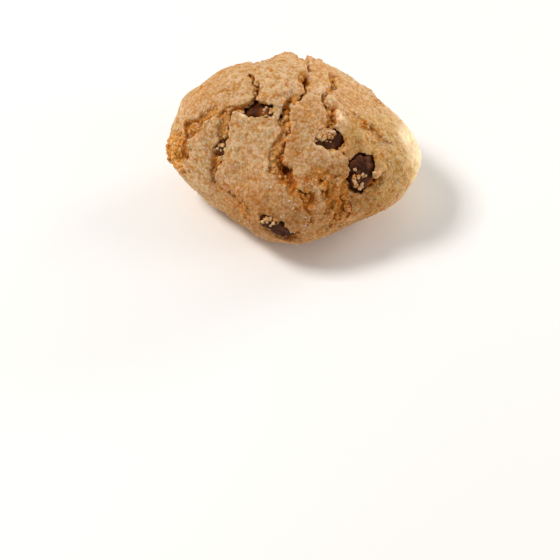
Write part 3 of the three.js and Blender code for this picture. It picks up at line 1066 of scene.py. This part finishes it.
def make_raisin(raisin, index, material):
    """A ball stretched to the raisin's size, with long folds and creases."""
    sphere, faces = ball(5)
    around = np.arctan2(sphere[:, 2], sphere[:, 1])
    sway = WRINKLE_SWAY * np.sin(WRINKLE_WAVES * sphere[:, 0] + index)
    fold = np.sin(WRINKLES * around + sway + index)
    plump = 1 + WRINKLE_DEPTH * fold * (1 - sphere[:, 0] ** 2)
    local = sphere * raisin.half
    local[:, 1:] *= plump[:, None]
    place = local + RAISINS_APART * index
    creases = np.abs(value_noise(place + CREASE_PLACES[0], CREASE_SIZES[0], 21))
    small = np.abs(value_noise(place + CREASE_PLACES[1], CREASE_SIZES[1], 22))
    creased = PLUMPNESS - CREASE_DEPTHS[0] * (1 - creases) ** 4 - CREASE_DEPTHS[1] * (1 - small) ** 3
    local *= creased[:, None]
    points = raisin_middle(raisin) + local @ raisin_axes(raisin)
    piece = mesh_piece(f"raisin_skin_{index + 1}", points, faces, material)
    set_attribute(piece, "amber", zone_share(points, AMBER))
    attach(piece, "root")
    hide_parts(f"raisin_{index + 1}")


# -------- grains, crumbs and sugar

# What lies loose: smallest and largest size, how far each is sunk and how uneven its shape is, as shares
# of its size.
LOOSE = {
    "crust_grains": (0.3, 0.7, 0.32, 0.4),
    "crumbs": (0.3, 1.1, 0.2, 0.5),
    "raisin_crumbs": (0.3, 1.1, 0.1, 0.45),
    "sugar": (0.2, 0.42, 0.05, 0.15),
}
CRUST_GRAINS = 2500
CRUMBS = 1500
SUGAR_CRYSTALS = 260

# They get denser upwards between two heights. Crust grains and sugar lie in clumps, down to this depth
# below the plates. Crumbs lie on torn dough and in cracks, from the first depths to the last.
LOOSE_FOOT = (2.0, 6.0)
CRUSTY_DEPTH = 0.7
CLUMP_SIZE = 4.0
CLUMP_RIM = (-0.5, 0.6)
BETWEEN_CLUMPS = 0.6
CRUMBS_FROM = (0.3, 0.9)
CRUMBS_TO = (1.6, 2.6)
CRUMBS_IN_CRACKS = 0.5

# The lightness of loose pieces' tops. None is coloured as if it lay deeper than this.
LOOSE_LIFTS = (0.45, 1.0)
DUSTING_LIFTS = (0.4, 1.0)
LOOSE_DEEPEST = 0.6

# Crumbs on each raisin: how many, and where they gather, as shares of its two half sizes.
DUSTING = [
    (16, (0.6, -0.2)), (12, (0.0, 0.5)), (90, (-0.45, 0.6)), (18, (-0.3, 0.7)), (16, (-0.8, 0.4)),
    (30, (0.2, 0.4)), (20, (0.3, -0.3)),
]
DUSTING_SPREAD = 0.28
DUSTING_RIM = 0.85
DUSTING_GOLD = 0.4

# A sugar crystal is a box.
BOX_POINTS = np.array([(x, y, z) for x in (-0.8, 0.8) for y in (-0.7, 0.7) for z in (-0.6, 0.6)])
BOX_FACES = np.array([(0, 1, 3, 2), (4, 6, 7, 5), (0, 4, 5, 1), (2, 3, 7, 6), (0, 2, 6, 4), (1, 5, 7, 3)])


def random_turns(generator, count):
    """Random rotation matrices."""
    q = generator.normal(size=(count, 4))
    q /= np.linalg.norm(q, axis=1)[:, None]
    w, x, y, z = q.T
    rows = [
        (1 - 2 * (y * y + z * z), 2 * (x * y - z * w), 2 * (x * z + y * w)),
        (2 * (x * y + z * w), 1 - 2 * (x * x + z * z), 2 * (y * z - x * w)),
        (2 * (x * z - y * w), 2 * (y * z + x * w), 1 - 2 * (x * x + y * y)),
    ]
    return np.stack([np.stack(row, -1) for row in rows], 1)


def scatter(name, shape, places, normals, generator, material, smooth=True):
    """Many small copies of a shape as one mesh, each turned, squashed and sunk a little at random."""
    smallest, largest, sink, uneven = LOOSE[name]
    base, base_faces = shape
    count = len(places)
    sizes = generator.uniform(smallest, largest, count)
    squash = 1 + uneven * generator.uniform(-1, 1, (count, 1, 3))
    knobs = 1 + uneven * generator.uniform(-1, 1, (count, len(base), 1))
    copies = base[None] * squash * knobs * (sizes / 2)[:, None, None]
    copies = np.einsum("nij,nkj->nki", random_turns(generator, count), copies)
    centres = places - normals * (sizes * sink)[:, None]
    points = (copies + centres[:, None]).reshape(-1, 3)
    faces = base_faces[None] + len(base) * np.arange(count)[:, None, None]
    piece = mesh_piece(name, points, faces.reshape(-1, base_faces.shape[1]), material, smooth)
    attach(piece, "root")
    return piece


def pick(generator, weights, count):
    """Numbers of points, none of them twice, drawn by weights that may be zero."""
    weights = weights + 1e-9
    return generator.choice(len(weights), count, replace=False, p=weights / weights.sum())


def raisin_dusting(generator):
    """Places and outward directions for crumbs on the raisins, and how torn-golden each crumb is."""
    places = []
    outwards = []
    for raisin, (count, gathered) in zip(RAISINS, DUSTING):
        across = np.array(gathered) + generator.normal(0, DUSTING_SPREAD, (count, 2))
        across *= np.minimum(1, DUSTING_RIM / np.linalg.norm(across, axis=1))[:, None]
        up = np.sqrt(1 - (across**2).sum(1))
        axes = raisin_axes(raisin)
        places.append(raisin_middle(raisin) + (np.column_stack((across, up)) * raisin.half) @ axes)
        outwards.append(np.tile(axes[2], (count, 1)))
    covers = generator.uniform(0, DUSTING_GOLD, sum(count for count, _ in DUSTING))
    return np.vstack(places), np.vstack(outwards), covers


def make_grains(dough, points, looks, material, sugar):
    """Grains of the crust, crumbs on torn dough and on raisins, and sugar, each kind one mesh."""
    generator = np.random.default_rng(SEED)
    normals = vertex_normals(dough)
    depth = looks["depth"]
    above = smoothstep(points[:, 2], *LOOSE_FOOT)
    crusty = above * smoothstep(-depth, -CRUSTY_DEPTH, 0.0)
    clumps = smoothstep(value_noise(points, CLUMP_SIZE, 31), *CLUMP_RIM)
    cracked = CRUMBS_IN_CRACKS * smoothstep(depth, *CRUMBS_FROM)
    cracked = cracked * smoothstep(-depth, -CRUMBS_TO[1], -CRUMBS_TO[0])

    kinds = [
        ("crust_grains", ball(1), crusty * (BETWEEN_CLUMPS + clumps), CRUST_GRAINS),
        ("crumbs", ball(2), above * np.maximum(looks["torn"], cracked), CRUMBS),
    ]
    for name, shape, weights, count in kinds:
        chosen = pick(generator, weights, count)
        piece = scatter(name, shape, points[chosen], normals[chosen], generator, material)
        for look, values in looks.items():
            values = generator.uniform(*LOOSE_LIFTS, count) if look == "lift" else values[chosen]
            if look == "depth":
                values = np.minimum(values, LOOSE_DEEPEST)
            set_attribute(piece, look, np.repeat(values, len(shape[0])))

    places, outwards, covers = raisin_dusting(generator)
    crumb = ball(2)
    piece = scatter("raisin_crumbs", crumb, places, outwards, generator, material)
    for look in looks:
        lifts = generator.uniform(*DUSTING_LIFTS, len(places))
        values = {"lift": lifts, "torn": covers}.get(look, 0 * covers)
        set_attribute(piece, look, np.repeat(values, len(crumb[0])))

    chosen = pick(generator, crusty * clumps, SUGAR_CRYSTALS)
    box = (BOX_POINTS, BOX_FACES)
    scatter("sugar", box, points[chosen], normals[chosen], generator, sugar, smooth=False)


# -------- stage

# The camera looks down at 46 degrees from straight in front, from far away, as the photo does.
CAMERA_ELEVATION = 46.0
CAMERA_LENS = 120.0
SENSOR = 36.0
PHOTO_SIZE = 560
PIXELS_PER_MM = 4.45
LOOK_AT = (-3.5, -27.3, 0.0)

# Lamps: name, place and size in metres, power in watts, colour. They point at the cookie's middle.
LAMPS = [
    ("left", (-0.36, 0.02, 0.50), 0.18, 2.6, (1.0, 0.975, 0.94)),
    ("right", (0.45, 0.35, 0.15), 0.20, 1.4, (1.0, 0.98, 0.95)),
    ("front right", (0.50, -0.10, 0.14), 0.20, 0.9, (1.0, 0.98, 0.95)),
]
LAMPS_AIM = (0, 0, 0.015)
SKY = {"Color": (1.0, 0.99, 0.97, 1), "Strength": 0.38}
TABLE = {"Base Color": (0.97, 0.965, 0.955, 1), "Roughness": 0.5}
TABLE_REACH = 2000.0


def make_floor():
    """A white table under the cookie."""
    material, _, shader = new_material("white table")
    set_inputs(shader, TABLE)
    corners = TABLE_REACH * np.array([(-1, -1, 0), (1, -1, 0), (1, 1, 0), (-1, 1, 0)])
    floor = mesh_piece("floor", corners, np.array([(0, 1, 2, 3)]), material, smooth=False)


def make_light(name, place, size, power, colour):
    light = bpy.data.lights.new(name, "AREA")
    light.size = size
    light.energy = power
    light.color = colour
    piece = new_object(name, light)
    piece.location = place
    piece.rotation_euler = (Vector(LAMPS_AIM) - Vector(place)).to_track_quat("-Z", "Y").to_euler()


def make_camera():
    camera = bpy.data.cameras.new("camera")
    camera.lens = CAMERA_LENS
    camera.sensor_width = SENSOR
    camera.sensor_fit = "HORIZONTAL"
    camera.clip_start = 0.01
    piece = new_object("camera", camera)
    elevation = math.radians(CAMERA_ELEVATION)
    distance = PHOTO_SIZE / PIXELS_PER_MM * CAMERA_LENS / SENSOR
    back = Vector((0, -math.cos(elevation), math.sin(elevation)))
    piece.location = (Vector(LOOK_AT) + distance * back) * MM
    piece.rotation_euler = (math.pi / 2 - elevation, 0, 0)
    bpy.context.scene.camera = piece


def make_stage():
    make_floor()
    for lamp in LAMPS:
        make_light(*lamp)
    world = bpy.data.worlds.new("studio")
    world.use_nodes = True
    set_inputs(world.node_tree.nodes["Background"], SKY)
    bpy.context.scene.world = world
    bpy.context.scene.view_settings.view_transform = "Standard"
    make_camera()


# -------- all of it

make_stage()
dough, dough_points, dough_looks = make_dough(crust_material("baked crust", 0.75))
raisin_skin = raisin_material()
for index, raisin in enumerate(RAISINS):
    make_raisin(raisin, index, raisin_skin)
make_grains(dough, dough_points, dough_looks, crust_material("loose grains", 0.0), sugar_material())
